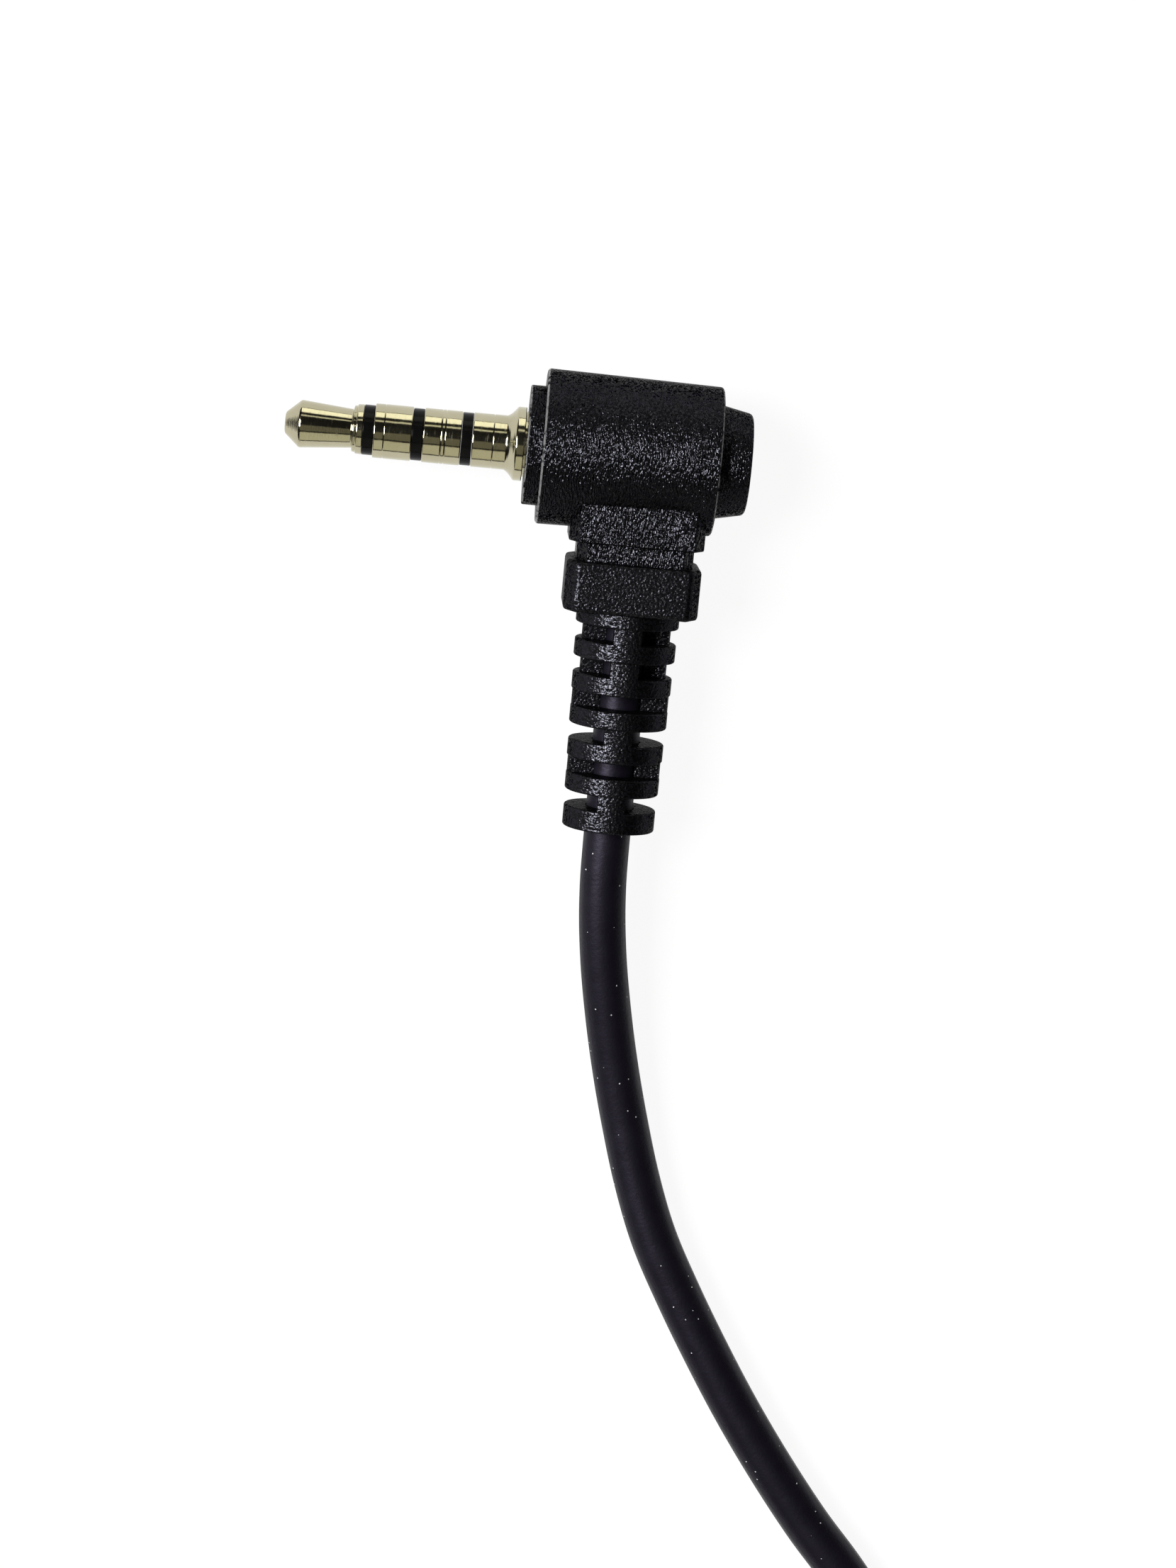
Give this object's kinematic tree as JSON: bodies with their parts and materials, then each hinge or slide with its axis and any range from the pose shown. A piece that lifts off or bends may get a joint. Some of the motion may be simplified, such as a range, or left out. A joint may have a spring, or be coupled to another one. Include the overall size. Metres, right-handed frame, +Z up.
{
  "type": "cable shutter release",
  "caption": "Remote shutter release: slim handset with a shutter button and a hold slide, thin black cord wound in a tied coil, and a right-angle jack plug with ribbed bend relief.",
  "frame": {"origin": "middle of the handset's footprint, on the surface that everything lies on", "axes": "+Z up, +Y along the handset towards its shutter button, the cord leaves the handset towards -Y, the plug lies on the -X side with its tip towards -X"},
  "size_m": [0.0801, 0.1094, 0.0169],
  "materials": {
    "nickel_plate": "bright turned nickel plate",
    "contact_insulator": "glossy moulded rings",
    "plug_plastic": "spark-eroded leather grain",
    "wire_red": "smooth insulation",
    "wire_white": "smooth insulation",
    "wire_green": "smooth insulation",
    "wire_copper": "bare stranded copper",
    "cord_sheath": "smooth satin sheath",
    "tie_strap": "flat strap",
    "gland_rubber": "moulded bend relief",
    "case_plastic": "fine moulded texture",
    "button_plastic": "satin",
    "slide_plastic": "satin with ridges",
    "inner_plastic": "plain moulding",
    "spring_brass": "rolled strip",
    "board_laminate": "solder mask",
    "resistor_body": "chip body",
    "screw_steel": "zinc plated"
  },
  "bodies": {
    "handset": {"tip_contact": "nickel_plate", "front_insulator": "contact_insulator", "front_ring_contact": "nickel_plate", "middle_insulator": "contact_insulator", "rear_ring_contact": "nickel_plate", "rear_insulator": "contact_insulator", "sleeve_contact": "nickel_plate", "plug_core": "plug_plastic", "barrel_jacket": "plug_plastic", "rear_cap": "plug_plastic", "strain_relief_boot": "plug_plastic", "plug_red_wire": "wire_red", "plug_white_wire": "wire_white", "plug_green_wire": "wire_green", "plug_shield_wire": "wire_copper", "cord_stretch": "cord_sheath", "cord_coil": "cord_sheath", "cord_tail": "cord_sheath", "coil_tie": "tie_strap", "handset_gland": "gland_rubber", "lower_shell": "case_plastic", "upper_shell": "case_plastic", "circuit_board": "board_laminate", "ladder_resistors": "resistor_body", "leaf_block": "inner_plastic", "common_leaf": "spring_brass", "focus_leaf": "spring_brass", "shutter_leaf": "spring_brass", "cord_clamp": "inner_plastic", "clamp_screws": "screw_steel", "handset_red_wire": "wire_red", "handset_white_wire": "wire_white", "handset_green_wire": "wire_green", "handset_shield_wire": "wire_copper", "case_screws": "screw_steel", "board_screws": "screw_steel"},
    "button": {"shutter_button": "button_plastic"},
    "slide": {"hold_slider": "slide_plastic", "slider_carrier": "inner_plastic", "slider_wiper": "spring_brass"}
  },
  "joints": [
    {"name": "shutter_press", "type": "slide", "parent": "handset", "child": "button", "axis": [0, 0, -1], "range_m": [0, 0.0016], "stiffness_N_per_m": 500, "springref_m": -0.001, "deforming": ["common_leaf", "focus_leaf", "shutter_leaf"]},
    {"name": "hold_slide", "type": "slide", "parent": "handset", "child": "slide", "axis": [0, 1, 0], "range_m": [0, 0.003]}
  ]
}
